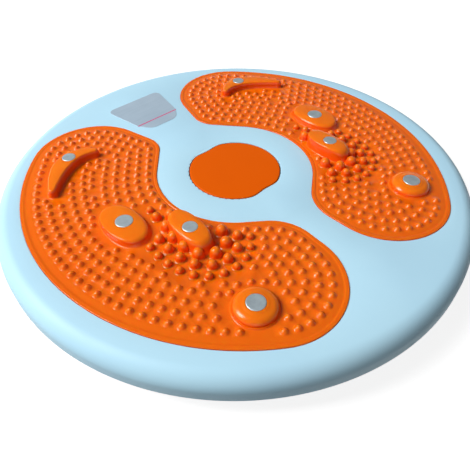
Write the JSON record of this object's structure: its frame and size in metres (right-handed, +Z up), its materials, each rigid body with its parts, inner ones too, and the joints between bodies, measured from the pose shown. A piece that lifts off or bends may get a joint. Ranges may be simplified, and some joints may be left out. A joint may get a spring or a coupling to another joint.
{
  "type": "waist twisting disc",
  "caption": "Round exercise board with two nubbed foot pads that spins on a ball race over a low base with rubber feet.",
  "frame": {"origin": "on the floor, on the spin axis of the board", "axes": "+Z up along the spin axis, +Y towards the user's toes, +X to the user's right"},
  "size_m": [0.28, 0.28, 0.0362],
  "materials": {
    "board": "satin moulded plastic, pale ice blue",
    "pad": "soft glossy orange vinyl",
    "cover": "satin orange moulded plastic",
    "magnet": "satin plated metal",
    "steel": "bright zinc-plated steel",
    "base": "satin moulded plastic",
    "nylon": "natural nylon",
    "rubber": "black rubber"
  },
  "bodies": {
    "base": {"base_plate": "base", "rubber_foot_1": "rubber", "rubber_foot_2": "rubber", "rubber_foot_3": "rubber", "rubber_foot_4": "rubber", "rubber_foot_5": "rubber", "rubber_foot_6": "rubber", "lower_race": "steel", "centre_bolt": "steel", "thrust_washer": "nylon", "nut_washer": "steel", "lock_nut": "steel"},
    "turntable": {"top_disc": "board", "upper_race": "steel", "hub_bush": "nylon", "left_foot_pad": "pad", "right_foot_pad": "pad", "left_ridge_magnet": "magnet", "left_oval_magnet": "magnet", "left_arch_magnet": "magnet", "left_heel_magnet": "magnet", "right_ridge_magnet": "magnet", "right_oval_magnet": "magnet", "right_arch_magnet": "magnet", "right_heel_magnet": "magnet", "centre_cover": "cover"},
    "ball_ring": {"ball_cage": "nylon", "ball_01": "steel", "ball_02": "steel", "ball_03": "steel", "ball_04": "steel", "ball_05": "steel", "ball_06": "steel", "ball_07": "steel", "ball_08": "steel", "ball_09": "steel", "ball_10": "steel", "ball_11": "steel", "ball_12": "steel"}
  },
  "joints": [
    {"name": "board_spin", "type": "hinge", "parent": "base", "child": "turntable", "pos_m": [0, 0, 0.0134], "axis": [0, 0, 1], "continuous": true},
    {"name": "ball_ring_orbit", "type": "hinge", "parent": "base", "child": "ball_ring", "pos_m": [0, 0, 0.0134], "axis": [0, 0, 1], "continuous": true}
  ],
  "couplings": [
    {"joint": "ball_ring_orbit", "follows": "board_spin", "ratio": 0.5}
  ]
}
